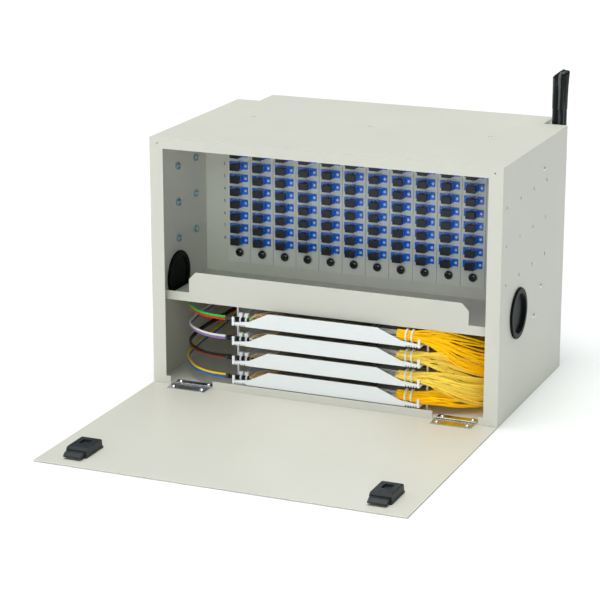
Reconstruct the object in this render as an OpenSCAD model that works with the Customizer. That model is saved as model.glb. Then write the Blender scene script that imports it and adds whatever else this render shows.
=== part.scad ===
// Fiber termination box: folded steel case with a drop-down door, a patch
// panel of SC adapters above a shelf, and four sliding splice trays below it.
// Frame: X to the right, Y to the back, Z up. The origin is on the ground
// under the front face. The door is drawn open, its rest position.

/* [Case] */
// Width across the two sides
box_w = 440; // [436:1:446]
// Height
box_h = 307; // [307:1:312]
// Depth from front face to rear
box_d = 300; // [298:1:308]
// Thickness of the case sheet
sheet = 1.5; // [1.4:0.1:1.6]
// Width of each cable recess in the rear corners
recess_w = 30; // [28:1:31]
// Length of each cable recess, front to back
recess_l = 44; // [42:1:46]
// Width of the front flange down each side
side_flange = 17; // [14:1:17]
// Height of the front flange under the top
top_flange = 11.5; // [9:0.5:12]
// Top of the lip at the foot of the front opening
lip_h = 10.6; // [8:0.1:10.6]

/* [Patch shelf and panel] */
// Height of the shelf's top face
shelf_z = 105.4; // [105:0.1:106]
// Front face of the shelf lip
shelf_y = 15; // [14:0.5:16]
// Front face of the module plates
panel_y = 152.2; // [150:0.2:154]
// Distance between module centres
module_pitch = 30.92; // [30.8:0.02:31]
// Distance between adapter centres in a module
adapter_pitch = 15.95; // [15.5:0.05:16.1]
// Height of the lowest adapter row
adapter_z = 149.4; // [149:0.2:151]
// Height of the lower module plungers
plunger_z = 133; // [132.6:0.2:133.8]

/* [Splice trays] */
// Left edge of the trays
tray_x0 = -116; // [-117:0.5:-114]
// Right edge of the trays
tray_x1 = 123.5; // [120:0.5:124]
// Front face of the trays
tray_y = 3; // [3:0.5:4]
// Depth of a tray, front to back
tray_d = 165; // [155:1:170]
// Underside of the lowest tray
tray_z = 11; // [11:0.1:11.2]
// Distance from one tray to the next
tray_pitch = 24.4; // [24.2:0.1:24.6]
// Height of the middle of a tray's front wall
tray_h = 18.7; // [17:0.1:19]

/* [Door] */
// Length of the door, hinge edge to free edge
door_l = 299.7; // [296:0.1:300]
// Distance of each hinge from the middle of the case
hinge_x = 169; // [168:0.5:170]
// Distance of each latch from the middle of the case
latch_x = 180; // [178:0.5:182]
// How far each latch bolt stands out of its housing
bolt_out = 11; // [10:0.5:12]

/* [Cables] */
// Diameter of the feeder cable
feeder_dia = 18; // [17:0.5:20]
// Height of the feeder cable's cut end
feeder_top = 371; // [365:1:374]
// Diameter of a bundle of pigtails
bundle_dia = 14; // [12:0.5:14]
// Diameter of a loose tube
tube_dia = 2.8; // [2.4:0.1:3]

/* [Hidden] */

hw = box_w / 2;              // outer half width
iw = hw - sheet;             // inner half width
rear_x = hw - recess_w;      // half width at the rear
side_l = box_d - recess_l;   // length of a side before the recess
wall_top = box_h - sheet;    // underside of the cover
back_y = box_d - 3.5;        // front face of the rear panel

nut_y = [18.5, 70, 121.5, 173];
nut_z = [166.4, 211.9, 257.4];
grommet_y = 69;
grommet_z = 120;
grommet_r = 30.5;
module_x = [for (k = [0 : 11]) -172.4 + module_pitch * k];
adapter_rows = [for (r = [0 : 7]) adapter_z + adapter_pitch * r];
plunger_rows = [plunger_z, plunger_z + 142.9];
plunger_dx = 0.8;
plate_w = 30.3;
plate_z0 = 119.5;
plate_z1 = 290.5;

// Hinge axis, and the parts around it.
axis_y = 1.3;
axis_z = 3.1;
leaf_w = 50;
leaf_t = 1.2;
door_leaf = 19.1;
case_leaf = 13.7;
door_hole = 12.1;
case_hole = 8.5;
barrel_r = 1.3;
pin_r = 0.7;
knuckle = 10;

feeder_x = 204.2;
feeder_y = 274;
feeder_z0 = 98;
elbow_z = 85;

$fn = 32;

module bar(x0, x1, y0, y1, z0, z1) {
  translate([x0, y0, z0]) cube([x1 - x0, y1 - y0, z1 - z0]);
}

// A cylinder along Y from y0 to y1.
module rod_y(x, z, r, y0, y1) {
  translate([x, y1, z]) rotate([90, 0, 0]) cylinder(r = r, h = y1 - y0);
}

// A cylinder along X from x0 to x1.
module rod_x(y, z, r, x0, x1) {
  translate([x0, y, z]) rotate([0, 90, 0]) cylinder(r = r, h = x1 - x0);
}

// A flat shape drawn in X and Z, running from y0 to y1.
module slab_y(y0, y1) {
  translate([0, y1, 0]) rotate([90, 0, 0]) linear_extrude(y1 - y0) children();
}

module both_sides() {
  children();
  mirror([1, 0, 0]) children();
}

// ---- smooth sweep of a round tube along a route ----
function spline(p, t) =
  let (n = len(p) - 1, i = min(n - 1, floor(t)), f = t - i,
       a = p[max(0, i - 1)], b = p[i], c = p[i + 1], d = p[min(n, i + 2)])
  0.5 * (2 * b + (c - a) * f + (2 * a - 5 * b + 4 * c - d) * f * f
    + (3 * b - 3 * c + d - a) * f * f * f);
function unit(v) = v / norm(v);
function tangents(q) = [for (i = [0 : len(q) - 1])
  unit(q[min(len(q) - 1, i + 1)] - q[max(0, i - 1)])];
function side_of(t) = unit(cross(t, abs(t[2]) > 0.9 ? [0, 1, 0] : [0, 0, 1]));
function frames(t, i = 0, s = [0, 0, 0]) =
  i >= len(t) ? [] :
  let (g = i == 0 ? side_of(t[0]) : unit(s - t[i] * (s * t[i])))
  concat([g], frames(t, i + 1, g));

module tube(route, r, per = 3, sides = 10) {
  n = (len(route) - 1) * per;
  q = [for (i = [0 : n]) spline(route, i / per)];
  t = tangents(q);
  f = frames(t);
  points = [for (i = [0 : n]) for (j = [0 : sides - 1])
    let (a = 360 * j / sides)
    q[i] + r * (cos(a) * f[i] + sin(a) * cross(t[i], f[i]))];
  faces = concat(
    [[for (j = [0 : sides - 1]) j]],
    [for (i = [0 : n - 1]) for (j = [0 : sides - 1])
      [i * sides + j, (i + 1) * sides + j,
       (i + 1) * sides + (j + 1) % sides, i * sides + (j + 1) % sides]],
    [[for (j = [sides - 1 : -1 : 0]) n * sides + j]]);
  polyhedron(points = points, faces = faces, convexity = 8);
}

// ---- case ----
module side_wall_plan() {
  polygon([[iw, 0], [hw, 0], [hw, side_l], [rear_x, side_l],
    [rear_x, back_y + sheet], [rear_x - sheet, back_y + sheet],
    [rear_x - sheet, side_l - sheet], [iw, side_l - sheet]]);
}

module case_plan() {
  polygon([[-hw, 0], [hw, 0], [hw, side_l], [rear_x, side_l],
    [rear_x, box_d], [-rear_x, box_d], [-rear_x, side_l], [-hw, side_l]]);
}

module chassis_shell() {
  color([0.84, 0.84, 0.8]) difference() {
    union() {
      linear_extrude(sheet) case_plan();
      both_sides() {
        translate([0, 0, sheet]) linear_extrude(wall_top - sheet)
          side_wall_plan();
        // front flange, hinge-side tab and rear screw flange
        bar(hw - side_flange, iw, 0, sheet, sheet, wall_top);
        bar(hw - side_flange - 6, hw - side_flange, 0, sheet, sheet, lip_h);
        bar(rear_x - 14, rear_x - sheet, back_y - sheet, back_y, sheet,
          wall_top);
      }
      bar(-141, 141, 0, sheet, sheet, lip_h);
    }
    both_sides() {
      rod_x(grommet_y, grommet_z, 27, iw - 1, hw + 1);
      for (y = nut_y, z = nut_z) rod_x(y, z, 2.5, iw - 1, hw + 1);
      translate([hw - 10, -1, box_h - 7]) rotate([-90, 0, 0])
        cylinder(r = 1, h = sheet + 2);
    }
    // cable entry from the right-hand recess
    rod_x(feeder_y, elbow_z, 8.1, rear_x - sheet - 1, rear_x + 1);
  }
}

module top_cover() {
  color([0.87, 0.88, 0.83]) difference() {
    union() {
      translate([0, 0, wall_top]) linear_extrude(sheet) case_plan();
      bar(-hw + side_flange, hw - side_flange, 0, sheet,
        wall_top - top_flange, wall_top);
    }
    // spot-weld dimples
    for (x = [-154, 0, 153], e = [-1.8, 1.8])
      translate([x + e, 158.6, box_h - 0.4]) cylinder(r = 0.9, h = 1);
  }
}

module rear_panel() {
  color([0.82, 0.82, 0.78])
    bar(-rear_x + sheet, rear_x - sheet, back_y, back_y + sheet, sheet,
      wall_top);
}

module screw_head_y(x, z, y, dir) {
  translate([x, y, z]) rotate([dir * -90, 0, 0]) difference() {
    cylinder(r1 = 3.4, r2 = 2.4, h = 1.8);
    translate([-0.5, -1.8, 1]) cube([1, 3.6, 1]);
  }
}

module case_screws() {
  color([0.75, 0.75, 0.74]) {
    for (s = [-1, 1], z = [30, 110, 190, 270])
      screw_head_y(s * (rear_x - 8), z, back_y + sheet, 1);
    both_sides() {
      for (p = [[panel_y + 8.4, 129.5], [panel_y + 8.4, 273], [135, 99]])
        translate([hw, p[0], p[1]]) rotate([0, 90, 0]) difference() {
          cylinder(r1 = 3.2, r2 = 2.4, h = 1.4);
          translate([-1.8, -0.5, 0.8]) cube([3.6, 1, 1]);
        }
    }
  }
}

module clinch_nuts() {
  color([0.78, 0.78, 0.76]) both_sides()
    for (y = nut_y, z = nut_z) difference() {
      rod_x(y, z, 4.6, iw - 3.5, iw);
      rod_x(y, z, 2.5, iw - 4, iw + 1);
    }
}

module cable_grommets() {
  color([0.06, 0.06, 0.06]) both_sides()
    translate([iw, grommet_y, grommet_z]) rotate([0, 90, 0])
      rotate_extrude($fn = 64)
        polygon([[0, -0.8], [22, -0.8], [24, -3], [grommet_r - 1, -3],
          [grommet_r, -2], [grommet_r, 0], [27, 0], [27, sheet],
          [grommet_r, sheet], [grommet_r, sheet + 2],
          [grommet_r - 1, sheet + 3], [24, sheet + 3], [22, 0.8],
          [0, 0.8]]);
}

// ---- shelf and patch panel ----
module patch_shelf() {
  color([0.83, 0.83, 0.79]) difference() {
    union() {
      bar(-iw, iw, shelf_y, 212, shelf_z - sheet, shelf_z);
      bar(-iw, iw, shelf_y, shelf_y + sheet, shelf_z, shelf_z + 9.6);
      slab_y(shelf_y, shelf_y + sheet)
        polygon([[-178, shelf_z + 9], [178, shelf_z + 9],
          [178, shelf_z + 26.6], [169, shelf_z + 35.6],
          [-169, shelf_z + 35.6], [-178, shelf_z + 26.6]]);
      both_sides()
        bar(iw - sheet, iw, 105, 200, shelf_z - 13, shelf_z);
    }
    both_sides() rod_x(grommet_y, grommet_z, grommet_r + 1, iw - 6, iw + 1);
  }
}

module adapter_panel() {
  y0 = panel_y + sheet;
  color([0.83, 0.84, 0.82]) difference() {
    union() {
      bar(-iw, iw, y0, y0 + sheet, shelf_z, wall_top);
      both_sides()
        bar(iw - sheet, iw, y0, y0 + 14, shelf_z, wall_top);
    }
    for (x = module_x) {
      bar(x - 11.6, x + 11.6, y0 - 1, y0 + sheet + 1, adapter_z - 7,
        adapter_rows[7] + 7);
      for (z = plunger_rows)
        rod_y(x + plunger_dx, z, 3.2, y0 - 1, y0 + sheet + 1);
    }
  }
}

module module_plates() {
  color([0.86, 0.87, 0.86]) for (x = module_x) difference() {
    bar(x - plate_w / 2, x + plate_w / 2, panel_y, panel_y + sheet,
      plate_z0, plate_z1);
    for (z = adapter_rows)
      bar(x - 6.4, x + 6.4, panel_y - 1, panel_y + sheet + 1, z - 4.65,
        z + 4.65);
    for (z = plunger_rows)
      rod_y(x + plunger_dx, z, 3.2, panel_y - 1, panel_y + 2);
  }
}

module sc_adapters() {
  color([0.05, 0.2, 0.6]) for (x = module_x, z = adapter_rows)
    translate([x, panel_y, z]) difference() {
      union() {
        bar(-6.4, 6.4, -9, 14, -4.65, 4.65);
        bar(-12.4, 12.4, -1.8, 0, -4.65, 4.65);
        // key rib along the top
        bar(-2, 2, -8.4, -1, 4.6, 5.2);
      }
      bar(-4.5, 4.5, -10, 15, -3.7, 3.7);
    }
}

module adapter_screws() {
  color([0.85, 0.85, 0.83]) for (x = module_x, z = adapter_rows)
    translate([x + 9.9, panel_y - 1.8, z]) rotate([90, 0, 0])
      cylinder(r1 = 1.8, r2 = 1.3, h = 1.1, $fn = 16);
}

module dust_caps() {
  color([0.04, 0.04, 0.05]) for (x = module_x, z = adapter_rows)
    translate([x, panel_y, z]) {
      bar(-5.9, 5.9, -16, -9, -4.4, 4.4);
      bar(-4.4, 4.4, -9, -1, -3.6, 3.6);
    }
}

module plunger_grommets() {
  color([0.1, 0.1, 0.1]) for (x = module_x, z = plunger_rows)
    difference() {
      union() {
        rod_y(x + plunger_dx, z, 6.2, panel_y - 1, panel_y);
        rod_y(x + plunger_dx, z, 3.2, panel_y - 1, panel_y + 5.5);
      }
      rod_y(x + plunger_dx, z, 2, panel_y - 3, panel_y + 6);
    }
}

module module_plungers() {
  color([0.03, 0.03, 0.03]) for (x = module_x, z = plunger_rows) {
    rod_y(x + plunger_dx, z, 2, panel_y - 1.1, panel_y + 7);
    translate([x + plunger_dx, panel_y - 1.1, z]) rotate([90, 0, 0])
      rotate_extrude() polygon([[0, 0], [5.2, 0], [5.2, 1.6], [4.8, 2.5],
        [3.9, 3.2], [2.4, 3.7], [0, 3.9]]);
  }
}

module pigtail_connectors() {
  color([0.1, 0.25, 0.65]) for (x = module_x, z = adapter_rows)
    translate([x, panel_y, z]) {
      bar(-4.4, 4.4, 1, 26, -3.6, 3.6);
      translate([0, 26, 0]) rotate([-90, 0, 0])
        cylinder(r1 = 3, r2 = 1.8, h = 24, $fn = 16);
    }
}

// ---- splice trays ----
module tray_front() {
  polygon([[tray_x0, 0], [tray_x1, 0], [tray_x1, 10.5],
    [tray_x1 - 3, 10.5], [tray_x1 - 3, 4], [tray_x1 - 24, 6.5],
    [70, tray_h], [-69, tray_h], [tray_x0 + 22, 6.5], [tray_x0 + 3, 4],
    [tray_x0 + 3, 10.5], [tray_x0, 10.5]]);
}

// Slots of the two ladders. The ties sit in the first two of each.
tie_x = [tray_x0 + 8, tray_x0 + 15.5, tray_x1 - 19, tray_x1 - 11.6];
ladder_x = concat(tie_x, [tray_x0 + 23, tray_x1 - 26.4]);

module splice_tray(n) {
  y1 = tray_y + tray_d;
  color([0.95, 0.96, 0.97])
  translate([0, 0, tray_z + tray_pitch * n]) difference() {
    union() {
      bar(tray_x0, tray_x1, tray_y, y1, 0, 1.6);
      slab_y(tray_y, tray_y + 1.8) tray_front();
      // side walls, low in front where the cables come in
      for (x = [tray_x0, tray_x1 - 1.8]) {
        bar(x, x + 1.8, tray_y + 24, y1, 1, 4);
        bar(x, x + 1.8, tray_y + 80, y1, 3, 15);
      }
      bar(tray_x0, tray_x1, y1 - 1.8, y1, 1, 15);
      // coil drums
      for (x = [-62, 66]) translate([x, 100, 1]) difference() {
        cylinder(r = 25, h = 7, $fn = 48);
        translate([0, 0, -1]) cylinder(r = 23.4, h = 11, $fn = 48);
        bar(-6, 6, -30, 30, 2, 12);
      }
      // ladders that take the cable ties
      for (x = [tray_x0 + 5, tray_x1 - 29]) bar(x, x + 24, 5, 22, 1, 2.2);
    }
    for (x = ladder_x) bar(x - 1.6, x + 1.6, 7, 19, -1, 3);
    // row of small notches at each end of the front wall's foot
    for (x = [tray_x0 + 3, tray_x1 - 17.6], i = [0 : 4])
      bar(x + 3.2 * i, x + 3.2 * i + 1.8, tray_y - 1, tray_y + 3, -1, 2);
  }
}

module tray_lid(n) {
  y1 = tray_y + tray_d;
  color([0.8, 0.85, 0.87, 0.4])
  translate([0, 0, tray_z + tray_pitch * n + 15]) linear_extrude(1.2)
    polygon([[tray_x0, tray_y + 33], [-62, tray_y + 33], [-62, tray_y + 2],
      [63, tray_y + 2], [63, tray_y + 33], [tray_x1, tray_y + 33],
      [tray_x1, y1], [tray_x0, y1]]);
}

module splice_holder(n) {
  color([0.9, 0.9, 0.92])
  translate([2, 100, tray_z + tray_pitch * n + 1.6]) difference() {
    bar(-28, 28, -36, 36, 0, 6);
    for (i = [0 : 5]) bar(-29, 29, -32 + 11 * i, -23.5 + 11 * i, 2, 8);
  }
}

bundle_y = 13;
bundle_h = 10.6;
tube_h = 5.4;
tube_gap = tube_dia + 0.1;

module tie_ring(x, z, r) {
  difference() {
    rod_x(bundle_y, z, r + 0.9, x - 1.1, x + 1.1);
    rod_x(bundle_y, z, r, x - 2, x + 2);
  }
}

module tray_ties(n) {
  z0 = tray_z + tray_pitch * n;
  color([0.9, 0.9, 0.88]) {
    // around the pigtails, each with its lock at the back
    for (x = [tie_x[2], tie_x[3]]) {
      tie_ring(x, z0 + bundle_h, bundle_dia / 2 + 0.3);
      bar(x - 2, x + 2, bundle_y + bundle_dia / 2 + 1.1,
        bundle_y + bundle_dia / 2 + 3.6, z0 + bundle_h - 2.5,
        z0 + bundle_h + 2.5);
    }
    // around the loose tubes, each with its lock on top
    for (x = [tie_x[0], tie_x[1]]) {
      tie_ring(x, z0 + tube_h, tube_dia + 0.35);
      bar(x - 2.4, x + 2.4, bundle_y - 2.4, bundle_y + 2.4,
        z0 + tube_h + tube_dia + 1, z0 + tube_h + tube_dia + 5.5);
    }
  }
}

rod_r = 1.4;

module tray_rack() {
  xs = [tray_x0 - 1.9, tray_x1 + 1.9];
  color([0.75, 0.76, 0.76]) union() {
    for (x = xs, y = [26, 140]) {
      translate([x, y, sheet])
        cylinder(r = rod_r, h = shelf_z - 2 * sheet, $fn = 24);
      translate([x, y, sheet]) cylinder(r = 5, h = 2, $fn = 24);
      translate([x, y, shelf_z - sheet - 2]) cylinder(r = 5, h = 2, $fn = 24);
    }
    for (n = [0 : 3], y = [26, 140])
      rod_x(y, tray_z + tray_pitch * n - 0.3 - rod_r, rod_r, xs[0], xs[1]);
  }
}

// ---- fibres and tubes inside the case ----
// Route of the pigtail bundle that serves tray n. The upper bundles sag
// most on their way to the right-hand wall.
bundle_sag = [1.5, 8, 10, 16];
function bundle_route(n) =
  let (z = tray_z + tray_pitch * n + bundle_h, y = 274 - 15 * n,
       d = bundle_sag[n])
  [[94, bundle_y, z], [110, bundle_y, z], [126, bundle_y, z - 0.1 * d],
   [146, 17, z - 0.4 * d], [170, 28, z - 0.8 * d], [190, 52, z - d],
   [199, 95, z - d], [200, 150, z - d], [190, 196, z - d],
   [160, y - 16, z - 2], [136, y, z + 8], [130, y, z + 22],
   [130, y, 130 + 2 * n]];

module pigtail_bundle(n, shade) {
  color(shade) tube(bundle_route(n), bundle_dia / 2, 4, 10);
}

// Route of tube i (0 or 1) of the pair that serves tray n. It follows the
// left-hand wall to the rear, and the lowest pair climbs in the corner.
tube_wall_x = [-209, -203, -200, -203];
tube_climb = [36, 0, 0, 0];
tube_order = [1, 0, 2, 3];
function tube_route(n, i) =
  let (z = tray_z + tray_pitch * n + tube_h + tube_gap * (i - 0.5),
       e = elbow_z + 3.6 * (tube_order[n] - 1.5), w = i == 0 ? -1.9 : 1.9,
       x = tube_wall_x[n], c = tube_climb[n])
  [[-92, bundle_y, z], [-108, bundle_y, z], [-124, bundle_y, z],
   [-150, 14.5, z], [-172, 23, z + 1], [-190, 42, z + 1.5],
   [x + 4, 68, z + 2], [x, 110, z + 2 + 0.1 * c],
   [x + 1, 160, z + 2 + 0.2 * c], [x + 4, 208, z + 2 + 0.4 * c],
   [x + 13, 232, z + 2 + c], [-172, 254, z + 2 + c],
   [-124, 280, z + 3 + c], [0, 289 - w, z + 3 + c],
   [80, 290 - w, (z + c) * 0.7 + e * 0.3], [136, 287 - w, e],
   [158, 276 - w, e], [165.5, feeder_y - w, e]];

module loose_tubes(n, shade) {
  color(shade) for (i = [0, 1]) tube(tube_route(n, i), tube_dia / 2, 3, 8);
}

// ---- feeder cable in the right-hand recess ----
module feeder_cable() {
  color([0.07, 0.07, 0.07]) translate([feeder_x, feeder_y, feeder_z0])
    cylinder(d = feeder_dia, h = feeder_top - feeder_z0 - 3, $fn = 48);
}

module cable_end_cap() {
  color([0.04, 0.04, 0.04])
    translate([feeder_x, feeder_y, feeder_top - 48]) difference() {
      cylinder(d = feeder_dia + 1.5, h = 48, $fn = 48);
      translate([0, 0, -1]) cylinder(d = feeder_dia + 0.1, h = 46, $fn = 48);
    }
}

module cable_clamps() {
  r = feeder_dia / 2;
  color([0.12, 0.12, 0.12]) for (z = [130, 240])
    translate([feeder_x, feeder_y, z]) difference() {
      union() {
        cylinder(r = r + 1, h = 14, $fn = 48);
        bar(rear_x - feeder_x, 0, -r - 1, r + 1, 0, 14);
        bar(rear_x - feeder_x, rear_x - feeder_x + 2.5, -r - 6.5, r + 6.5,
          0, 14);
      }
      translate([0, 0, -1]) cylinder(r = r, h = 16, $fn = 48);
    }
}

module cable_elbow() {
  color([0.09, 0.09, 0.09]) union() {
    translate([feeder_x, feeder_y, elbow_z])
      cylinder(r = feeder_dia / 2 + 1, h = feeder_z0 - elbow_z, $fn = 48);
    translate([feeder_x, feeder_y, elbow_z]) sphere(r = feeder_dia / 2 + 1.2, $fn = 48);
    rod_x(feeder_y, elbow_z, 8, rear_x - sheet - 4, feeder_x);
    rod_x(feeder_y, elbow_z, 11, 166, rear_x - sheet);
    rod_x(feeder_y, elbow_z, 11, rear_x, rear_x + 3);
  }
}

// ---- door and hinges ----
module door_panel() {
  color([0.84, 0.83, 0.77]) bar(-hw, hw, -0.3 - door_l, -0.3, 0, sheet);
}

// One leaf with its knuckles, drawn at X = 0 on the side of -Y.
module hinge_leaf(first, bore, reach, hole_y) {
  difference() {
    union() {
      bar(-leaf_w / 2, leaf_w / 2, -reach, -1.8, 0, leaf_t);
      for (i = [first : 2 : 4]) {
        x = -leaf_w / 2 + knuckle * i;
        bar(x + 0.1, x + knuckle - 0.1, -1.9, 0, 0, leaf_t);
        rod_x(0, axis_z - sheet, barrel_r, x + 0.1, x + knuckle - 0.1);
      }
    }
    rod_x(0, axis_z - sheet, bore, -leaf_w, leaf_w);
    for (x = [-18.7, 18.7])
      translate([x, -hole_y, -1]) cylinder(r = 1.6, h = 4);
  }
}

module hinge_leaves_door() {
  color([0.8, 0.81, 0.8]) for (s = [-1, 1])
    translate([s * hinge_x, axis_y, sheet])
      hinge_leaf(1, pin_r + 0.05, door_leaf, door_hole);
}

module hinge_leaves_case() {
  color([0.8, 0.81, 0.8]) for (s = [-1, 1])
    translate([s * hinge_x, axis_y, sheet]) mirror([0, 1, 0])
      hinge_leaf(0, pin_r, case_leaf, case_hole);
}

module hinge_pins() {
  color([0.7, 0.7, 0.7]) for (s = [-1, 1])
    rod_x(axis_y, axis_z, pin_r, s * hinge_x - 25.4, s * hinge_x + 25.4);
}

module hinge_screws(y) {
  color([0.82, 0.82, 0.8]) for (s = [-1, 1], e = [-18.7, 18.7])
    translate([s * hinge_x + e, y, sheet]) {
      cylinder(r = 1.6, h = leaf_t);
      translate([0, 0, leaf_t]) difference() {
        cylinder(r1 = 3.6, r2 = 2.2, h = 1.5);
        bar(-0.4, 0.4, -2, 2, 0.8, 2);
        bar(-2, 2, -0.4, 0.4, 0.8, 2);
      }
    }
}

module hinge_screws_door() { hinge_screws(axis_y - door_hole); }
module hinge_screws_case() { hinge_screws(axis_y + case_hole); }

// Slide latch near the free edge of the door.
latch_y0 = -274;
latch_y1 = -236;

module latch_housing() {
  difference() {
    union() {
      bar(-13.4, 13.4, latch_y0 - 1, latch_y1 + 1, sheet, sheet + 2.2);
      intersection() {
        translate([-13, 0, 0]) rotate([90, 0, 90]) linear_extrude(26)
          polygon([[latch_y0, sheet + 2], [latch_y1, sheet + 2],
            [latch_y1 - 0.5, sheet + 9.5], [latch_y1 - 2.5, sheet + 11],
            [latch_y0 + 3, sheet + 11], [latch_y0, sheet + 8]]);
        slab_y(latch_y0 - 1, latch_y1 + 1)
          polygon([[-13, sheet], [13, sheet], [12.5, sheet + 10],
            [11.5, sheet + 11.1], [-11.5, sheet + 11.1],
            [-12.5, sheet + 10]]);
      }
    }
    // channel for the bolt, open at the free edge of the door
    bar(-11.2, 11.2, latch_y0 - 4, latch_y1 - 16, sheet + 2.2, sheet + 7.2);
    // window in the top
    bar(-5.3, 5.3, latch_y1 - 22, latch_y1 - 9, sheet + 8, sheet + 12);
  }
}

module latch_housings() {
  color([0.07, 0.07, 0.08]) for (s = [-1, 1])
    translate([s * latch_x, 0, 0]) latch_housing();
}

module latch_bolt() {
  translate([-11, 0, 0]) rotate([90, 0, 90]) linear_extrude(22)
    polygon([[latch_y0 - bolt_out, sheet + 3.9],
      [latch_y0 - bolt_out, sheet + 2.4], [latch_y1 - 18, sheet + 2.4],
      [latch_y1 - 18, sheet + 7], [latch_y0 - bolt_out + 5, sheet + 7]]);
}

module latch_bolt_left() {
  color([0.1, 0.1, 0.11]) translate([-latch_x, 0, 0]) latch_bolt();
}

module latch_bolt_right() {
  color([0.1, 0.1, 0.11]) translate([latch_x, 0, 0]) latch_bolt();
}

module pigtail_bundle_1() { pigtail_bundle(0, [0.9, 0.6, 0.1]); }
module pigtail_bundle_2() { pigtail_bundle(1, [0.9, 0.75, 0.2]); }
module pigtail_bundle_3() { pigtail_bundle(2, [0.9, 0.75, 0.2]); }
module pigtail_bundle_4() { pigtail_bundle(3, [0.9, 0.6, 0.1]); }
module loose_tubes_1() { loose_tubes(0, [0.85, 0.7, 0.1]); }
module loose_tubes_2() { loose_tubes(1, [0.4, 0.2, 0.1]); }
module loose_tubes_3() { loose_tubes(2, [0.7, 0.65, 0.8]); }
module loose_tubes_4() { loose_tubes(3, [0.2, 0.6, 0.2]); }
module splice_tray_1() { splice_tray(0); }
module splice_tray_2() { splice_tray(1); }
module splice_tray_3() { splice_tray(2); }
module splice_tray_4() { splice_tray(3); }
module tray_lid_1() { tray_lid(0); }
module tray_lid_2() { tray_lid(1); }
module tray_lid_3() { tray_lid(2); }
module tray_lid_4() { tray_lid(3); }
module splice_holder_1() { splice_holder(0); }
module splice_holder_2() { splice_holder(1); }
module splice_holder_3() { splice_holder(2); }
module splice_holder_4() { splice_holder(3); }
module tray_ties_1() { tray_ties(0); }
module tray_ties_2() { tray_ties(1); }
module tray_ties_3() { tray_ties(2); }
module tray_ties_4() { tray_ties(3); }

chassis_shell();
top_cover();
rear_panel();
patch_shelf();
adapter_panel();
module_plates();
sc_adapters();
adapter_screws();
dust_caps();
plunger_grommets();
module_plungers();
pigtail_connectors();
cable_grommets();
clinch_nuts();
case_screws();
tray_rack();
hinge_leaves_case();
hinge_pins();
hinge_screws_case();
feeder_cable();
cable_end_cap();
cable_clamps();
cable_elbow();
pigtail_bundle_1();
pigtail_bundle_2();
pigtail_bundle_3();
pigtail_bundle_4();
loose_tubes_1();
loose_tubes_2();
loose_tubes_3();
loose_tubes_4();
door_panel();
hinge_leaves_door();
hinge_screws_door();
latch_housings();
latch_bolt_left();
latch_bolt_right();
splice_tray_1();
splice_tray_2();
splice_tray_3();
splice_tray_4();
tray_lid_1();
tray_lid_2();
tray_lid_3();
tray_lid_4();
splice_holder_1();
splice_holder_2();
splice_holder_3();
splice_holder_4();
tray_ties_1();
tray_ties_2();
tray_ties_3();
tray_ties_4();
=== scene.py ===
import math
import random

import bpy
import numpy as np
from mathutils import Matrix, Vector


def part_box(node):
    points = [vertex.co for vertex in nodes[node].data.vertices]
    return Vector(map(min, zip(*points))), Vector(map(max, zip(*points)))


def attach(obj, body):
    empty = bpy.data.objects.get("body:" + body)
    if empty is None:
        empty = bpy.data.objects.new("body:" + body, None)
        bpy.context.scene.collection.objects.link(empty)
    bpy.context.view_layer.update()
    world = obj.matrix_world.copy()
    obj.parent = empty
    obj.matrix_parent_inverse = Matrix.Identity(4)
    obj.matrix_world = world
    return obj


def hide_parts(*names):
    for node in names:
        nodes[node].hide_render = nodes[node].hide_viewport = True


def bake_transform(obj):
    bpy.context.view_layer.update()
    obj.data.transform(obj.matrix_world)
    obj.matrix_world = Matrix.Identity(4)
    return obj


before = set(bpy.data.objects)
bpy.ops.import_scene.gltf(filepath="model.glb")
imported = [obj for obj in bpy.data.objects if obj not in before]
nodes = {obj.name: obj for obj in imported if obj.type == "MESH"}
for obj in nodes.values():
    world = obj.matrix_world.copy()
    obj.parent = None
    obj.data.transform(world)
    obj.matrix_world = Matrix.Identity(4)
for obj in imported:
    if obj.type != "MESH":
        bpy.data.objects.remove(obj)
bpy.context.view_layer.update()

MM = 0.001

# ---------------------------------------------------------------- camera
camera = bpy.data.objects.new("camera", bpy.data.cameras.new("camera"))
bpy.context.scene.collection.objects.link(camera)
camera.location = (0.9291, -2.2797, 0.8430)
camera.rotation_euler = (math.radians(90 - 16.16), 0, math.radians(22.73))
camera.data.lens = 131.1
camera.data.sensor_width = 36
camera.data.clip_end = 50
bpy.context.scene.camera = camera


# ---------------------------------------------------------------- mesh helpers
def link(name, verts, faces, finish, smooth=True, tones=None):
    """A new mesh in the scene. tones gives each vertex its shade."""
    mesh = bpy.data.meshes.new(name)
    mesh.from_pydata([tuple(v) for v in verts], [], [tuple(f) for f in faces])
    mesh.update()
    for polygon in mesh.polygons:
        polygon.use_smooth = smooth
    if tones is not None:
        tone = mesh.attributes.new("tone", "FLOAT", "POINT")
        tone.data.foreach_set("value", np.asarray(tones, np.float32))
    mesh.materials.append(finish)
    made = bpy.data.objects.new(name, mesh)
    bpy.context.scene.collection.objects.link(made)
    return made


def mix(a, b, f):
    return a + (b - a) * f


def spline(points, per):
    """Points on a smooth curve through these, per samples to a stretch."""
    p = np.asarray(points, float)
    n = len(p)
    out = []
    for i in range(n - 1):
        a, b, c, d = p[max(0, i - 1)], p[i], p[i + 1], p[min(n - 1, i + 2)]
        for k in range(per):
            f = k / per
            out.append(0.5 * (2 * b + (c - a) * f
                              + (2 * a - 5 * b + 4 * c - d) * f * f
                              + (3 * b - 3 * c + d - a) * f ** 3))
    out.append(p[-1])
    return np.array(out)


def headings(path):
    """The direction of a path at each of its points."""
    ahead = np.gradient(path, axis=0)
    return ahead / np.linalg.norm(ahead, axis=1)[:, None]


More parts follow.
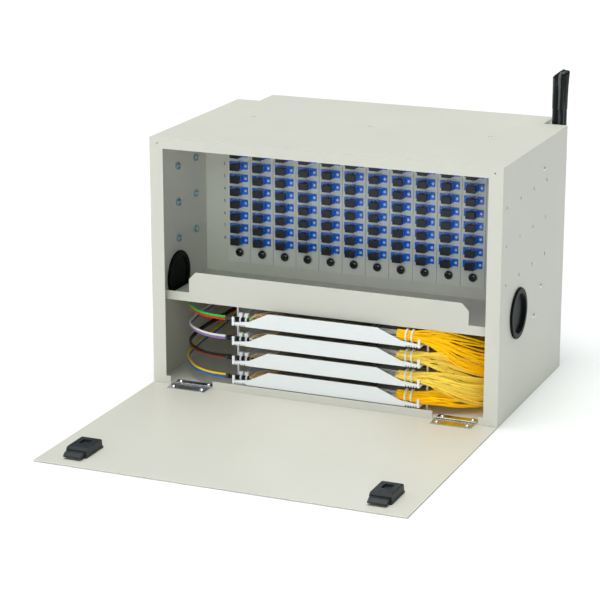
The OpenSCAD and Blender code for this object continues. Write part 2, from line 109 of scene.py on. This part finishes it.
def rings(path, radius, sides):
    """Vertices of a round tube along path. radius is a number or one a point."""
    path = np.asarray(path, float)
    radii = np.broadcast_to(np.asarray(radius, float), (len(path),))
    ahead = headings(path)
    is_steep = abs(ahead[0][2]) >= 0.9
    side = np.cross(ahead[0], (0, 1.0, 0) if is_steep else (0, 0, 1.0))
    angles = (np.arange(sides) * 2 * math.pi / sides)[:, None]
    out = []
    for centre, r, way in zip(path, radii, ahead):
        side = side - way * (side @ way)
        side /= np.linalg.norm(side)
        up = np.cross(way, side)
        out.append(centre + r * (np.cos(angles) * side + np.sin(angles) * up))
    return np.concatenate(out)


def tube_faces(count, sides, base=0):
    """Faces of a tube of count rings, closed at both ends."""
    faces = []
    for i in range(count - 1):
        for j in range(sides):
            a = base + i * sides + j
            b = base + i * sides + (j + 1) % sides
            faces.append((a, b, b + sides, a + sides))
    faces.append(tuple(base + j for j in reversed(range(sides))))
    faces.append(tuple(base + (count - 1) * sides + j for j in range(sides)))
    return faces


def tubes(name, paths, radius, finish, sides=8):
    """One mesh of closed round tubes, with a tone for each tube."""
    rnd = random.Random(name)
    verts, faces, tones = [], [], []
    for path in paths:
        faces.extend(tube_faces(len(path), sides, len(verts)))
        around = rings(path, radius, sides)
        verts.extend(around * MM)
        tones.extend([rnd.random()] * len(around))
    return link(name, verts, faces, finish, True, tones)


# ---------------------------------------------------------------- materials
def add_node(tree, kind, values=None):
    """A new shader node with some of its sockets set."""
    node = tree.nodes.new(kind)
    for socket, value in (values or {}).items():
        node.inputs[socket].default_value = value
    return node


def noise(tree, scale, detail, stretch=0.0):
    """A noise over the object, drawn out along Z where stretch is below 1."""
    place = add_node(tree, "ShaderNodeTexCoord").outputs["Object"]
    if stretch:
        mapping = add_node(tree, "ShaderNodeMapping",
                           {"Scale": (1, 1, stretch)})
        tree.links.new(place, mapping.inputs["Vector"])
        place = mapping.outputs["Vector"]
    texture = add_node(tree, "ShaderNodeTexNoise",
                       {"Scale": scale, "Detail": detail})
    tree.links.new(place, texture.inputs["Vector"])
    return texture.outputs["Fac"]


def uneven_gloss(tree, scale, detail, low, high):
    """Roughness that drifts between low and high."""
    gloss = add_node(tree, "ShaderNodeMapRange",
                     {"To Min": low, "To Max": high})
    tree.links.new(noise(tree, scale, detail), gloss.inputs["Value"])
    tree.links.new(gloss.outputs[0],
                   tree.nodes["Principled BSDF"].inputs["Roughness"])


def shade_by_tube(tree, color, spread, second):
    """The colour, lighter or darker on each tube, mixed with a second one."""
    join = tree.links.new
    tone = add_node(tree, "ShaderNodeAttribute")
    tone.attribute_name = "tone"
    if second:
        blend = add_node(tree, "ShaderNodeMix")
        blend.data_type = "RGBA"
        blend.inputs["B"].default_value = tuple(second) + (1,)
        join(tone.outputs["Fac"], blend.inputs["Factor"])
        join(color, blend.inputs["A"])
        color = blend.outputs["Result"]
    gain = add_node(tree, "ShaderNodeMapRange",
                    {"To Min": 1 - spread, "To Max": 1 + spread})
    join(tone.outputs["Fac"], gain.inputs["Value"])
    scaled = add_node(tree, "ShaderNodeVectorMath")
    scaled.operation = "SCALE"
    join(color, scaled.inputs[0])
    join(gain.outputs[0], scaled.inputs["Scale"])
    return scaled.outputs[0]


COAT_ROUGHNESS = 0.15
GRAIN_DEPTH = 0.0003  # of the bump, in metres


def material(name, color, rough, metal=0.0, tone=0.05, tone_scale=30.0,
             grain=0.0, grain_scale=1500.0, rough_var=0.05, by_piece=0.0,
             lines=0.0, specular=0.5, coat=0.0, second=None, painted_glow=0.0,
             streak=0.0):
    """A shader with drifting tone, uneven gloss and a fine surface grain.

    by_piece is how much the tubes of a mesh differ, and second a colour that
    some of them tend to. streak and lines draw the tone and the grain out
    along Z. The emission it may add is painted light: the surface shines of
    itself.
    """
    made = bpy.data.materials.new(name)
    made.use_nodes = True
    tree = made.node_tree
    join = tree.links.new
    shader = tree.nodes["Principled BSDF"]
    shader.inputs["Metallic"].default_value = metal
    shader.inputs["Specular IOR Level"].default_value = specular
    if coat:
        shader.inputs["Coat Weight"].default_value = coat
        shader.inputs["Coat Roughness"].default_value = COAT_ROUGHNESS

    ramp = add_node(tree, "ShaderNodeValToRGB")
    dark, light = ramp.color_ramp.elements
    dark.position, light.position = (0.52, 0.64) if streak else (0.3, 0.7)
    dark.color = [c * (1 - tone) for c in color] + [1]
    light.color = [min(1, c * (1 + tone)) for c in color] + [1]
    join(noise(tree, tone_scale, 4, streak), ramp.inputs["Fac"])
    shade = ramp.outputs["Color"]
    if by_piece:
        shade = shade_by_tube(tree, shade, by_piece, second)
    join(shade, shader.inputs["Base Color"])
    # this emission is painted light, the surface shines of itself
    if painted_glow:
        join(shade, shader.inputs["Emission Color"])
        shader.inputs["Emission Strength"].default_value = painted_glow

    uneven_gloss(tree, tone_scale * 4, 5, max(0.02, rough - rough_var),
                 rough + rough_var)
    if grain:
        bump = add_node(tree, "ShaderNodeBump",
                        {"Strength": grain, "Distance": GRAIN_DEPTH})
        join(noise(tree, grain_scale, 3, lines), bump.inputs["Height"])
        join(bump.outputs[0], shader.inputs["Normal"])
    return made


def clear_material(name, color):
    """Thin tinted plastic that shows what lies under it."""
    made = bpy.data.materials.new(name)
    made.use_nodes = True
    shader = made.node_tree.nodes["Principled BSDF"]
    shader.inputs["Base Color"].default_value = color + (1,)
    shader.inputs["Transmission Weight"].default_value = 0.92
    shader.inputs["IOR"].default_value = 1.12
    uneven_gloss(made.node_tree, 60, 2, 0.03, 0.14)
    return made


paint = material("powder_coat", (0.70, 0.70, 0.625), 0.42, tone=0.02,
                 tone_scale=9, grain=0.16, grain_scale=900)
# a darker copy of the powder coat: painted shade on the door
shaded_door_paint = material("powder_coat_door_painted_shade", (0.655, 0.655, 0.585), 0.42,
                      tone=0.02, tone_scale=9, grain=0.16, grain_scale=900)
# near black: painted shade in the dimples of the top cover
pit_painted_shade = material("powder_coat_pit_painted_shade", (0.04, 0.04, 0.035), 0.7, tone=0.1,
                     tone_scale=60, grain=0.1)
# a lighter copy of the powder coat: painted light on the recessed module plates
lit_panel_paint = material("module_paint_painted_light", (0.75, 0.765, 0.70), 0.4, tone=0.03,
                       tone_scale=12, grain=0.14, grain_scale=900)
zinc = material("zinc_plate", (0.60, 0.66, 0.66), 0.2, metal=1.0, tone=0.12,
                tone_scale=160, grain=0.05, grain_scale=1200, rough_var=0.08)
steel = material("bright_steel", (0.80, 0.80, 0.78), 0.22, metal=1.0,
                 tone=0.06, tone_scale=200, grain=0.05, rough_var=0.08)
# whitish and only partly metal: painted glints on the screw heads
screw = material("screw_painted_glint", (0.90, 0.92, 0.93), 0.3, metal=0.3,
                 tone=0.04, tone_scale=200, grain=0.05, rough_var=0.08)
blue = material("adapter_blue", (0.002, 0.17, 0.80), 0.22, tone=0.16,
                tone_scale=90, grain=0.06, grain_scale=2200, coat=0.4)
cap_black = material("cap_black", (0.010, 0.014, 0.020), 0.38, tone=0.3,
                     tone_scale=80, grain=0.1, grain_scale=1800)
knob_black = material("knob_black", (0.004, 0.004, 0.005), 0.08, tone=0.3,
                      tone_scale=80, grain=0.02, rough_var=0.03, specular=0.7,
                      coat=0.35)
rim = material("plunger_rim", (0.55, 0.56, 0.54), 0.35, tone=0.06,
               tone_scale=90, grain=0.05)
latch_black = material("latch_black", (0.017, 0.023, 0.026), 0.45, tone=0.25,
                       tone_scale=60, grain=0.35, grain_scale=1600,
                       specular=0.35)
rubber = material("grommet_rubber", (0.004, 0.006, 0.006), 0.32, tone=0.3,
                  tone_scale=70, grain=0.05, grain_scale=1300, specular=0.04)
insert = material("insert_zinc", (0.42, 0.58, 0.66), 0.2, metal=1.0, tone=0.15,
                  tone_scale=200, grain=0.05, rough_var=0.08)
white = material("tray_white", (0.90, 0.945, 0.955), 0.35, tone=0.004,
                 tone_scale=20, grain=0.03, grain_scale=1200, rough_var=0.02)
nylon = material("natural_nylon", (0.80, 0.79, 0.75), 0.35, tone=0.04,
                 tone_scale=120, grain=0.08, grain_scale=1500)
# its lighter streaks along Z are painted highlights
sheath = material("cable_sheath", (0.055, 0.062, 0.07), 0.3, tone=0.95,
                  tone_scale=430, streak=0.03, grain=0.3, grain_scale=900,
                  lines=0.1, specular=0.2)
bare = material("bare_fibre", (0.58, 0.55, 0.48), 0.3, tone=0.08,
                tone_scale=60, by_piece=0.2, grain=0.05,
                second=(0.86, 0.86, 0.82))
amber = material("amber_fibre", (0.95, 0.50, 0.08), 0.3, tone=0.08,
                 tone_scale=60, by_piece=0.15, grain=0.05,
                 second=(0.80, 0.62, 0.42))
tie_nylon = material("tie_nylon", (0.82, 0.84, 0.85), 0.3, tone=0.05,
                     tone_scale=150, grain=0.08, grain_scale=1500)
wire = material("rack_wire", (0.86, 0.87, 0.86), 0.35, tone=0.05,
                tone_scale=80, grain=0.06, grain_scale=1400)
# a dark copy of the rack wire: painted shade on the rack behind its front posts
shaded_wire_paint = material("rack_wire_painted_shade", (0.16, 0.15, 0.13), 0.6, tone=0.1,
                     tone_scale=80, grain=0.1, grain_scale=1400)
# the jackets' emission is painted light, making them shine of themselves
orange = material("jacket_orange", (1.0, 0.56, 0.003), 0.5, tone=0.05,
                  tone_scale=25, by_piece=0.2, grain=0.06, specular=0.12,
                  painted_glow=0.12)
lemon = material("jacket_yellow", (1.0, 0.72, 0.10), 0.5, tone=0.05,
                 tone_scale=25, by_piece=0.2, grain=0.06, specular=0.12,
                 painted_glow=0.1)

clear = clear_material("clear_lid", (0.66, 0.61, 0.54))


# ---------------------------------------------------------------- CAD nodes
def soften(node, width, finish):
    """A CAD node gets its material and small rounded edges."""
    solid = nodes[node]
    mesh = solid.data
    mesh.materials.clear()
    mesh.materials.append(finish)
    if "custom_normal" in mesh.attributes:
        mesh.attributes.remove(mesh.attributes["custom_normal"])
    for polygon in mesh.polygons:
        polygon.use_smooth = True
        polygon.material_index = 0
    weld = solid.modifiers.new("weld", "WELD")
    weld.merge_threshold = 1e-6
    flat = solid.modifiers.new("flat", "DECIMATE")
    flat.decimate_type = "DISSOLVE"
    flat.angle_limit = math.radians(0.5)
    edges = solid.modifiers.new("edges", "BEVEL")
    edges.width = width * MM
    edges.segments = 2
    edges.limit_method = "ANGLE"
    edges.angle_limit = math.radians(30)
    edges.harden_normals = False
    normals = solid.modifiers.new("normals", "WEIGHTED_NORMAL")
    normals.mode = "FACE_AREA"
    normals.weight = 100


def second_finish(node, finish, is_here):
    """Another material on the faces whose centre is_here picks."""
    mesh = nodes[node].data
    mesh.materials.append(finish)
    for polygon in mesh.polygons:
        polygon.material_index = int(is_here(polygon.center))


# edge radius in mm and material of the CAD nodes
FINISHES = (
    (0.45, paint, ("chassis_shell", "top_cover", "rear_panel", "patch_shelf",
                   "adapter_panel")),
    (0.45, shaded_door_paint, ("door_panel",)),
    (0.3, lit_panel_paint, ("module_plates",)),
    (0.6, insert, ("clinch_nuts",)),
    (0.25, zinc, ("case_screws", "hinge_leaves_case", "hinge_leaves_door",
                  "hinge_screws_case", "hinge_screws_door")),
    (0.2, steel, ("hinge_pins",)),
    (0.2, wire, ("tray_rack",)),
    (0.15, screw, ("adapter_screws",)),
    (0.35, blue, ("sc_adapters", "pigtail_connectors")),
    (0.45, cap_black, ("dust_caps",)),
    (0.2, rim, ("plunger_grommets",)),
    (0.2, knob_black, ("module_plungers",)),
    (0.5, rubber, ("cable_grommets",)),
    (0.5, latch_black, ("latch_housings", "latch_bolt_left",
                        "latch_bolt_right", "cable_clamps", "cable_elbow")))
TRAYS = 4
for radius, finish, names in FINISHES:
    for name in names:
        soften(name, radius, finish)
for n in range(1, TRAYS + 1):
    soften(f"splice_tray_{n}", 0.3, white)
    soften(f"splice_holder_{n}", 0.3, nylon)
    soften(f"tray_ties_{n}", 0.25, tie_nylon)
    soften(f"tray_lid_{n}", 0.2, clear)

# the spot-weld dimples of the top cover are in one row, and their floors are
# painted near black as painted shade
DIMPLE_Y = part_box("chassis_shell")[0][1] + 158.6 * MM
DIMPLE_R = 1.2 * MM
COVER_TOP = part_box("top_cover")[1][2]


def in_dimple(place):
    depth = COVER_TOP - place.z
    return (0.05 * MM < depth < 0.5 * MM and abs(place.x) < 200 * MM
            and abs(place.y - DIMPLE_Y) < DIMPLE_R)


PAINTED_SHADE_FROM = 60 * MM  # the rack is painted darker behind its front posts, as painted shade
second_finish("top_cover", pit_painted_shade, in_dimple)
second_finish("tray_rack", shaded_wire_paint, lambda place: place.y > PAINTED_SHADE_FROM)

# ---------------------------------------------------------------- feeder cable
cable_lo, cable_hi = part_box("feeder_cable")
CABLE_X = (cable_lo[0] + cable_hi[0]) / 2 / MM
CABLE_Y = (cable_lo[1] + cable_hi[1]) / 2 / MM
CABLE_R = (cable_hi[0] - cable_lo[0]) / 2 / MM
CABLE_FOOT = cable_lo[2] / MM
CAP_FOOT, CAP_TOP = (corner[2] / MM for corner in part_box("cable_end_cap"))
CABLE_END = CAP_FOOT + 30  # its cut end is out of sight inside the cap


def shrink_cap():
    """The cap: folded lengthwise, wider at the top, its end pinched shut."""
    sides, count = 60, 40
    rim_z, rim_drop, lean = CAP_TOP - 1.2, 8, 0.7
    verts = []
    for i in range(count):
        f = i / (count - 1)
        for j in range(sides):
            a = 2 * math.pi * j / sides
            fold = (0.5 * math.sin(6 * a + 0.9 * f) + 0.3 * math.sin(11 * a + 2)
                    + 0.35 * math.sin(4 * a - 5 * f)
                    + 0.15 * math.sin(29 * f + a))
            r = CABLE_R + 0.15 + 0.3 * f + (0.2 + 0.9 * f) * (0.5 + fold / 2.6)
            # the rim is low on the left and leans over to the right
            drop = (rim_drop * (0.5 - 0.5 * math.cos(a - 0.5))
                    * max(0, (f - 0.5) * 2))
            verts.append(((CABLE_X + lean * f * f + r * math.cos(a)) * MM,
                          (CABLE_Y + r * math.sin(a)) * MM,
                          (mix(CAP_FOOT, rim_z, f) - drop) * MM))
    rim_ring = verts[-sides:]
    middle = CABLE_X + lean
    # narrower and narrower rings close the end: width and rise of each
    pinch = ((0.85, 0.6), (0.5, 0.9), (0.12, 1.1))
    for shut, rise in pinch:
        verts.extend(((middle + (x / MM - middle) * shut) * MM,
                      (CABLE_Y + (y / MM - CABLE_Y) * mix(0.8, 1, shut)) * MM,
                      mix(z, rim_z * MM, 1 - shut) + rise * MM)
                     for x, y, z in rim_ring)
    return link("shrink_cap", verts, tube_faces(count + len(pinch), sides),
                sheath)


cable_path = [(CABLE_X, CABLE_Y, mix(CABLE_FOOT, CABLE_END, i / 40))
              for i in range(41)]
feeder = tubes("feeder_sheath", [cable_path], CABLE_R, sheath, 40)
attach(feeder, "chassis")
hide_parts("feeder_cable")
cap = shrink_cap()
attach(cap, "chassis")
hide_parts("cable_end_cap")

# ---------------------------------------------------------------- the trays
# all in mm from here on; a tray's own heights are above its floor
TRAY_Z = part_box("splice_tray_1")[0][2] / MM
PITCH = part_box("splice_tray_2")[0][2] / MM - TRAY_Z
TIE_Y, BUNDLE_H, TUBE_H = 13, 10.6, 5.4
COIL_Y, LEFT_COIL_X, RIGHT_COIL_X = 100, -62, 66
COIL_LOW, COIL_HIGH = 2.2, 14.2  # between the tray's floor and its lid

# ---------------------------------------------------------------- pigtails
STRANDS = 24
STRAND_R = 1.1
GOLDEN_ANGLE = 2.39996
SAG = (1.5, 8, 10, 16)
# height, half height and depth of each bundle where it passes the flange
FAN = ((19, 13, -4.5), (27, 17, 3.8), (46.5, 17, -4.5), (66.5, 18.5, 3.8))
ROWS = [149.4 + 15.95 * r for r in range(8)]
COLUMNS = [-172.4 + 30.92 * k for k in range(12)]
LOOP_Y, BOOT_Y, CONNECTOR_Y = 262, 226, 201
# limits for the strands' centres: floor, right side and shelf of the case
LOWEST, RIGHTMOST, UNDER_SHELF = 3.4, 216.5, 102.4


def bundle_route(n):
    """Centre line, half width, half height, depth and how far it's spread."""
    z, y, d = TRAY_Z + PITCH * n + BUNDLE_H, 274 - 15 * n, SAG[n]
    c, h, o = FAN[n]
    return [
        (94, TIE_Y, z, 5.4, 5.4, 0, 0), (104.5, TIE_Y, z, 5.6, 5.6, 0, 0),
        (112, TIE_Y, z, 5.6, 5.6, 0, 0),
        (126, 13.5, mix(z, c, 0.02), 5.2, mix(6, h, 0.18), 0.1 * o, 0.4),
        (146, 18, mix(z, c, 0.18), 4.4, mix(6, h, 0.5), 0.5 * o, 0.9),
        (170, 29, mix(z, c, 0.62), 3.8, mix(6, h, 0.8), 0.9 * o, 1),
        (190, 52, c, 3.6, h, o, 1),
        (199, 95, mix(c, z - d, 0.45), 4.2, mix(h, 8, 0.45), 0.5 * o, 0.7),
        (200.5, 150, z - d, 6, 8, 0, 0.2), (190, 196, z - d, 6, 6.5, 0, 0),
        (160, y - 16, z - 2, 5.6, 5.6, 0, 0), (136, y, z + 8, 5.5, 5.5, 0, 0),
        (130, y, z + 22, 5.5, 5.5, 0, 0), (130, y, 130 + 2 * n, 5.5, 5.5, 0, 0)]


def cross_axes(line):
    """The level and the upright direction across a line at its points."""
    across, up = [], []
    for way in headings(line):
        side = np.cross(way, (0, 0, 1.0))
        if np.linalg.norm(side) < 0.5:
            side = np.array([1.0, 0, 0])
        side /= np.linalg.norm(side)
        across.append(side)
        up.append(np.cross(side, way))
    return across, up


def pigtail_paths(n, rnd):
    """From the ties, behind the front flange, up to the connectors."""
    route = np.array(bundle_route(n))
    line = route[:, :3]
    across, up = cross_axes(line)
    # each strand's place in the round bundle, and its rank in the flat fan
    spots = []
    for j in range(STRANDS):
        out, turn = math.sqrt((j + 0.5) / STRANDS), j * GOLDEN_ANGLE + n
        spots.append((out * math.cos(turn), out * math.sin(turn)))
    order = sorted(range(STRANDS),
                   key=lambda j: spots[j][1] + rnd.uniform(-0.5, 0.5))
    paths = []
    for j in range(STRANDS):
        rank = 2 * (order.index(j) + 0.5) / STRANDS - 1
        layer = rnd.choice((-0.55, 0.55)) + rnd.uniform(-0.25, 0.25)
        wave, stray = rnd.uniform(0, 6.3), rnd.uniform(-0.2, 0.2)
        points = []
        for i, (x, _, _, wide, high, deep, fan) in enumerate(route):
            sway = 1.5 * math.sin(wave + 1.5 * i) * min(1, fan * 2)
            if x > 150 and fan > 0.5:
                sway += stray * high
            points.append(
                line[i]
                + across[i] * (mix(spots[j][0], layer, fan) * wide + deep)
                + up[i] * (mix(spots[j][1], rank, fan) * high + sway))
        points[0] = points[0] + np.array([rnd.uniform(-3, 2.5), 0, 0])
        # each strand ends in the boot of its own connector
        x, z = COLUMNS[3 * n + j // 8], ROWS[j % 8]
        loop = (points[-1] + np.array([x, LOOP_Y, z])) / 2
        points.append(loop + np.array([0, 8, 0]))
        points.append(np.array([x, BOOT_Y, z]))
        points.append(np.array([x, CONNECTOR_Y, z]))
        curve = spline(points, 6)
        curve[:, 2] = np.maximum(curve[:, 2], LOWEST)
        curve[:, 0] = np.minimum(curve[:, 0], RIGHTMOST)
        if n == TRAYS - 1:
            front = ((curve[:, 1] < 214) & (curve[:, 1] > 12)
                     & (curve[:, 2] < 130))
            curve[front, 2] = np.minimum(curve[front, 2], UNDER_SHELF)
        paths.append(curve)
    return paths


def bare_fibre_paths(floor_z, rnd):
    """From the ends of the pigtails' jackets to both coils."""
    half_turn = np.linspace(0.1, math.pi - 0.1, 7)
    paths = []
    for _ in range(22):
        y = TIE_Y + rnd.uniform(-4.5, 4.5)
        z = floor_z + BUNDLE_H + rnd.uniform(-4.5, 4)
        coil_z = floor_z + rnd.uniform(2.6, 8.4)
        r = rnd.uniform(27.5, 33.5)
        points = [(97, y, z), (88, y + 1, z - 0.5), (70, y + 5, z - 1.5),
                  (40, y + 12, min(z, floor_z + 12) - 2),
                  (8, 44 + rnd.uniform(-4, 4), coil_z)]
        points += [(LEFT_COIL_X - r * math.sin(a), COIL_Y - r * math.cos(a),
                    coil_z) for a in half_turn]
        points += [(RIGHT_COIL_X + r * math.sin(a), COIL_Y + r * math.cos(a),
                    coil_z) for a in half_turn]
        points += [(2, COIL_Y - r, coil_z), (-50, COIL_Y - r, coil_z)]
        paths.append(inside_tray(points, floor_z))
    return paths


def tube_fibre_paths(floor_z, rnd):
    """From the loose tubes, up behind the front wall, to the left coil."""
    paths = []
    for _ in range(10):
        r, coil_z = rnd.uniform(27.5, 34), floor_z + rnd.uniform(3, 11)
        points = [(-98, TIE_Y + rnd.uniform(-1, 1),
                   floor_z + TUBE_H + rnd.uniform(-2, 2)),
                  (-91, 15 + rnd.uniform(-4, 9), floor_z + rnd.uniform(5, 13)),
                  (-80, 22 + rnd.uniform(-9, 12), floor_z + rnd.uniform(7, 14)),
                  (-60, COIL_Y - r - 30, floor_z + rnd.uniform(6, 13)),
                  (-50, COIL_Y - r - 14, coil_z)]
        points += [(LEFT_COIL_X + r * math.sin(a), COIL_Y - r * math.cos(a),
                    coil_z) for a in np.linspace(0.5, 5.6, 12)]
        paths.append(inside_tray(points, floor_z))
    return paths


def inside_tray(points, floor_z):
    """A smooth curve through the points, kept between floor and lid."""
    curve = spline(points, 5)
    curve[:, 2] = np.clip(curve[:, 2], floor_z + COIL_LOW, floor_z + COIL_HIGH)
    return curve


def splice_sleeve_paths(floor_z):
    """Sleeves lying two by two in the six grooves of the splice holder."""
    half, taper = 11.5, 0.7
    paths = []
    for groove in range(6):
        y = COIL_Y - 32 + 11 * groove + 4.25
        for x in (-11, 17):
            for dy in (-1.9, 1.9):
                paths.append([(x + dx, y + dy, floor_z + 5.3)
                              for dx in (-half, taper - half, half - taper,
                                         half)])
    return paths


for n in range(TRAYS):
    rnd = random.Random(20 + n)
    tray, floor_z = f"tray_{n + 1}", TRAY_Z + PITCH * n
    jackets = tubes(f"pigtails_{n + 1}", pigtail_paths(n, rnd), STRAND_R,
                    orange if n in (0, 3) else lemon, 8)
    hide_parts(f"pigtail_bundle_{n + 1}")
    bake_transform(jackets)
    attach(tubes(f"bare_fibres_{n + 1}", bare_fibre_paths(floor_z, rnd), 0.42,
                  bare, 6), tray)
    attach(tubes(f"tube_fibres_{n + 1}", tube_fibre_paths(floor_z, rnd), 0.36,
                  amber, 6), tray)
    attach(tubes(f"splice_sleeves_{n + 1}", splice_sleeve_paths(floor_z),
                  [0.9, 1.5, 1.5, 0.9], nylon, 12), tray)

# ---------------------------------------------------------------- loose tubes
TUBE_R = 1.4
TUBE_COLORS = (((0.005, 0.18, 0.75), (1.0, 0.62, 0.001)),
               ((0.20, 0.045, 0.015), (0.014, 0.010, 0.010)),
               ((0.30, 0.19, 0.46), (0.84, 0.86, 0.86)),
               ((0.86, 0.03, 0.008), (0.015, 0.62, 0.09)))
TUBE_NAMES = (("blue", "yellow"), ("brown", "black"), ("violet", "white"),
              ("red", "green"))
# where each pair runs along the left wall, how far it climbs there, and its
# place in the row of pairs at the elbow
WALL_X, CLIMB, ORDER = (-209, -203, -200, -203), (36, 0, 0, 0), (1, 0, 2, 3)


def tube_route(n, i):
    """From the tray, along the left and rear walls, to the cable's elbow."""
    z = TRAY_Z + PITCH * n + TUBE_H + 2.9 * (i - 0.5)
    e, w = 85 + 3.6 * (ORDER[n] - 1.5), (-1.9, 1.9)[i]
    x, c = WALL_X[n], CLIMB[n]
    return [
        (-92, TIE_Y, z), (-108, TIE_Y, z), (-124, TIE_Y, z), (-150, 14.5, z),
        (-172, 23, z + 1), (-190, 42, z + 1.5), (x + 4, 68, z + 2),
        (x, 110, z + 2 + 0.1 * c), (x + 1, 160, z + 2 + 0.2 * c),
        (x + 4, 208, z + 2 + 0.4 * c), (x + 13, 232, z + 2 + c),
        (-172, 254, z + 2 + c), (-124, 280, z + 3 + c),
        (0, 289 - w, z + 3 + c), (80, 290 - w, (z + c) * 0.7 + e * 0.3),
        (136, 287 - w, e), (158, 276 - w, e), (165.5, CABLE_Y - w, e)]


def tube_sleeve(n):
    """The black sleeve where a pair of tubes goes into its tray."""
    z, sides, oval = TRAY_Z + PITCH * n + TUBE_H, 20, 1.05
    profile = ((-128.5, 1.7), (-128, 2.0), (-120, 2.05), (-108, 2.0),
               (-97.5, 2.0), (-97, 1.7))
    verts = []
    for x, r in profile:
        for j in range(sides):
            a = 2 * math.pi * j / sides
            verts.append((x * MM, (TIE_Y + r * math.cos(a)) * MM,
                          (z + (r + oval) * math.sin(a)) * MM))
    return link(f"tube_sleeve_{n + 1}", verts, tube_faces(len(profile), sides),
                sheath)


for n in range(TRAYS):
    for i, (name, color) in enumerate(zip(TUBE_NAMES[n], TUBE_COLORS[n])):
        finish = material(f"tube_{name}", color, 0.3, tone=0.06, tone_scale=50,
                          grain=0.05, specular=0.25)
        tube = tubes(f"loose_tube_{name}", [spline(tube_route(n, i), 6)],
                     TUBE_R, finish, 14)
        if i == 0:
            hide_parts(f"loose_tubes_{n + 1}")
        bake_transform(tube)
    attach(tube_sleeve(n), f"tray_{n + 1}")

# ---------------------------------------------------------------- row numbers
ink = material("row_ink", (0.06, 0.06, 0.06), 0.6, tone=0.2, tone_scale=300,
               grain=0.05)
NUMBER_X = -192.9
PANEL_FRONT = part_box("adapter_panel")[0][1]


def row_number(number, z):
    """A printed digit beside a row of adapters."""
    text = bpy.data.curves.new("digit", "FONT")
    text.body = str(number)
    text.size = 5.5 * MM
    text.offset = 0.04 * MM  # a wider one breaks the outlines
    text.align_x = text.align_y = "CENTER"
    text.extrude = 0.03 * MM
    mesh = bpy.data.meshes.new_from_object(bpy.data.objects.new("digit", text))
    mesh.materials.append(ink)
    made = bpy.data.objects.new(f"row_number_{number}", mesh)
    bpy.context.scene.collection.objects.link(made)
    made.rotation_euler = (math.pi / 2, 0, 0)
    made.location = (NUMBER_X * MM, PANEL_FRONT - 0.04 * MM, z * MM)
    return made


for r, z in enumerate(reversed(ROWS)):
    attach(row_number(r + 1, z), "chassis")

# ---------------------------------------------------------------- stage and light
floor_mat = material("floor", (0.95, 0.95, 0.95), 0.7, tone=0.002,
                     tone_scale=3, specular=0.2)
FLOOR_HALF, FLOOR_Z = 12, -0.0005
corners = [(x * FLOOR_HALF, y * FLOOR_HALF, FLOOR_Z)
           for x, y in ((-1, -1), (1, -1), (1, 1), (-1, 1))]
link("floor", corners, [(0, 1, 2, 3)], floor_mat, False)

# soft boxes all round: direction, sharpness and colour of each
SKY = (((0, -0.1, 0.99), 20, (8.3, 8.2, 7.7)),
       ((-0.85, -0.35, 0.4), 6, (1.1, 0.95, 1.2)),
       ((0.22, -0.93, 0.28), 24, (4.15, 4.55, 4.45)),
       ((0, 0.5, 0.87), 12, (1.5, 1.8, 1.95)))


def soft_box(tree, way, aim, sharpness, color):
    """Light that is brightest towards aim and fades away from it."""
    join = tree.links.new
    dot = add_node(tree, "ShaderNodeVectorMath")
    dot.operation = "DOT_PRODUCT"
    dot.inputs[1].default_value = Vector(aim).normalized()
    join(way, dot.inputs[0])
    ahead = add_node(tree, "ShaderNodeMath", {1: 0})
    ahead.operation = "MAXIMUM"
    join(dot.outputs["Value"], ahead.inputs[0])
    lobe = add_node(tree, "ShaderNodeMath", {1: sharpness})
    lobe.operation = "POWER"
    join(ahead.outputs[0], lobe.inputs[0])
    tint = add_node(tree, "ShaderNodeVectorMath", {0: color})
    tint.operation = "SCALE"
    join(lobe.outputs[0], tint.inputs["Scale"])
    return tint.outputs[0]


def light_the_studio():
    """A world that is the sum of the soft boxes."""
    world = bpy.data.worlds.new("studio")
    bpy.context.scene.world = world
    world.use_nodes = True
    tree = world.node_tree
    way = add_node(tree, "ShaderNodeTexCoord").outputs["Generated"]
    total = None
    for aim, sharpness, color in SKY:
        box = soft_box(tree, way, aim, sharpness, color)
        if total is None:
            total = box
            continue
        both = add_node(tree, "ShaderNodeVectorMath")
        tree.links.new(total, both.inputs[0])
        tree.links.new(box, both.inputs[1])
        total = both.outputs[0]
    tree.links.new(total, tree.nodes["Background"].inputs["Color"])


light_the_studio()
bpy.context.scene.view_settings.view_transform = "Standard"
